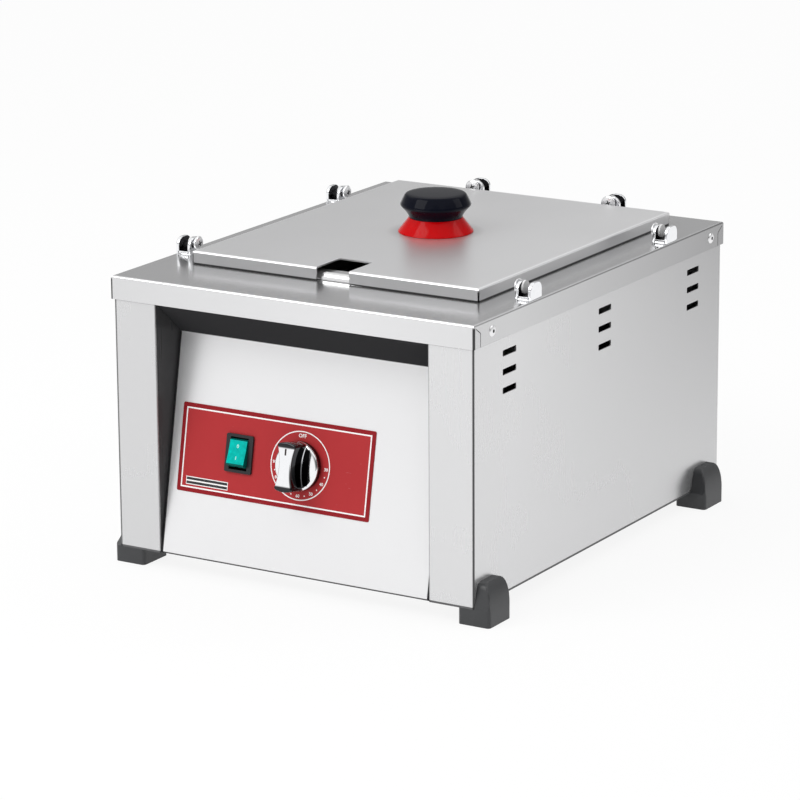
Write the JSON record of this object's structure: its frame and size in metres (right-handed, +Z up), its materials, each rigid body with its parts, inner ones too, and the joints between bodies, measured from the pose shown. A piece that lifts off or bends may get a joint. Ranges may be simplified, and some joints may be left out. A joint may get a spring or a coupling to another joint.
{
  "type": "electric bain-marie",
  "caption": "Counter-top electric bain-marie: folded steel cabinet with a leaning control front, hung water tank, food pan, notched lid with knob, and glass clamps",
  "frame": {"origin": "middle of the bounding box, on the table under the feet", "axes": "+X to the right seen from the front, +Y to the back, +Z up; the controls face -Y"},
  "size_m": [0.367, 0.4625, 0.2955],
  "materials": {
    "cabinet_steel": "satin",
    "lid_steel": "satin",
    "tank_steel": "dull",
    "pan_steel": "satin",
    "red_plate": "printed film",
    "black_plastic": "moulded",
    "green_rocker": "clear tinted",
    "brass": "plain",
    "chrome": "polished",
    "zinc": "zinc plated",
    "white_plastic": "moulded",
    "copper": "drawn",
    "red_plastic": "moulded",
    "gloss_black": "polished",
    "element_steel": "annealed",
    "wire_sleeve": "sleeved",
    "foot_plastic": "moulded",
    "rivet_steel": "drawn",
    "pad_rubber": "matte"
  },
  "bodies": {
    "cabinet": {"top_cover": "cabinet_steel", "left_side_panel": "cabinet_steel", "right_side_panel": "cabinet_steel", "back_panel": "cabinet_steel", "bottom_plate": "cabinet_steel", "front_panel": "cabinet_steel", "water_tank": "tank_steel", "control_plate": "red_plate", "switch_housing": "black_plastic", "switch_terminals": "brass", "thermostat_body": "white_plastic", "thermostat_screws": "zinc", "thermostat_probe": "copper", "probe_clip": "zinc", "heating_element": "element_steel", "element_straps": "zinc", "element_nuts": "zinc", "terminal_block": "white_plastic", "terminal_screws": "brass", "cable_gland": "black_plastic", "gland_nut": "black_plastic", "earth_stud": "brass", "wiring": "wire_sleeve", "clamp_fixing_screws": "zinc", "foot_front_left": "foot_plastic", "foot_front_right": "foot_plastic", "foot_rear_left": "foot_plastic", "foot_rear_right": "foot_plastic", "foot_screws": "zinc", "cover_rivets": "rivet_steel", "base_screws": "zinc", "back_screws": "zinc", "glass_clamp_left_front": "chrome", "glass_clamp_left_rear": "chrome", "glass_clamp_right_front": "chrome", "glass_clamp_right_rear": "chrome", "glass_clamp_back_left": "chrome", "glass_clamp_back_right": "chrome"},
    "pan": {"food_pan": "pan_steel"},
    "lid": {"lid": "lid_steel", "lid_knob_base": "red_plastic", "lid_knob_cap": "gloss_black", "lid_knob_screw": "zinc"},
    "thermostat_spindle": {"thermostat_knob": "chrome", "thermostat_shaft": "zinc"},
    "rocker": {"switch_rocker": "green_rocker"},
    "clamp_left_front": {"clamp_screw_left_front": "chrome", "clamp_pad_left_front": "pad_rubber"},
    "clamp_left_rear": {"clamp_screw_left_rear": "chrome", "clamp_pad_left_rear": "pad_rubber"},
    "clamp_right_front": {"clamp_screw_right_front": "chrome", "clamp_pad_right_front": "pad_rubber"},
    "clamp_right_rear": {"clamp_screw_right_rear": "chrome", "clamp_pad_right_rear": "pad_rubber"},
    "clamp_back_left": {"clamp_screw_back_left": "chrome", "clamp_pad_back_left": "pad_rubber"},
    "clamp_back_right": {"clamp_screw_back_right": "chrome", "clamp_pad_back_right": "pad_rubber"}
  },
  "joints": [
    {"name": "pan_lift", "type": "slide", "parent": "cabinet", "child": "pan", "axis": [0, 0, 1], "range_m": [0, 0.17]},
    {"name": "lid_lift", "type": "slide", "parent": "pan", "child": "lid", "axis": [0, 0, 1], "range_m": [0, 0.12]},
    {"name": "thermostat_turn", "type": "hinge", "parent": "cabinet", "child": "thermostat_spindle", "pos_m": [-0.006, -0.20321, 0.10517], "axis": [0, 0.9825, -0.1865], "range_deg": [0, 270]},
    {"name": "switch_rock", "type": "hinge", "parent": "cabinet", "child": "rocker", "pos_m": [-0.06575, -0.20159, 0.10675], "axis": [1, 0, 0], "range_deg": [0, 22]},
    {"name": "clamp_left_front_advance", "type": "slide", "parent": "cabinet", "child": "clamp_left_front", "axis": [-1, 0, 0], "range_m": [0, 0.0016]},
    {"name": "clamp_left_rear_advance", "type": "slide", "parent": "cabinet", "child": "clamp_left_rear", "axis": [-1, 0, 0], "range_m": [0, 0.0016]},
    {"name": "clamp_right_front_advance", "type": "slide", "parent": "cabinet", "child": "clamp_right_front", "axis": [1, 0, 0], "range_m": [0, 0.0016]},
    {"name": "clamp_right_rear_advance", "type": "slide", "parent": "cabinet", "child": "clamp_right_rear", "axis": [1, 0, 0], "range_m": [0, 0.0016]},
    {"name": "clamp_back_left_advance", "type": "slide", "parent": "cabinet", "child": "clamp_back_left", "axis": [0, 1, 0], "range_m": [0, 0.0016]},
    {"name": "clamp_back_right_advance", "type": "slide", "parent": "cabinet", "child": "clamp_back_right", "axis": [0, 1, 0], "range_m": [0, 0.0016]}
  ]
}
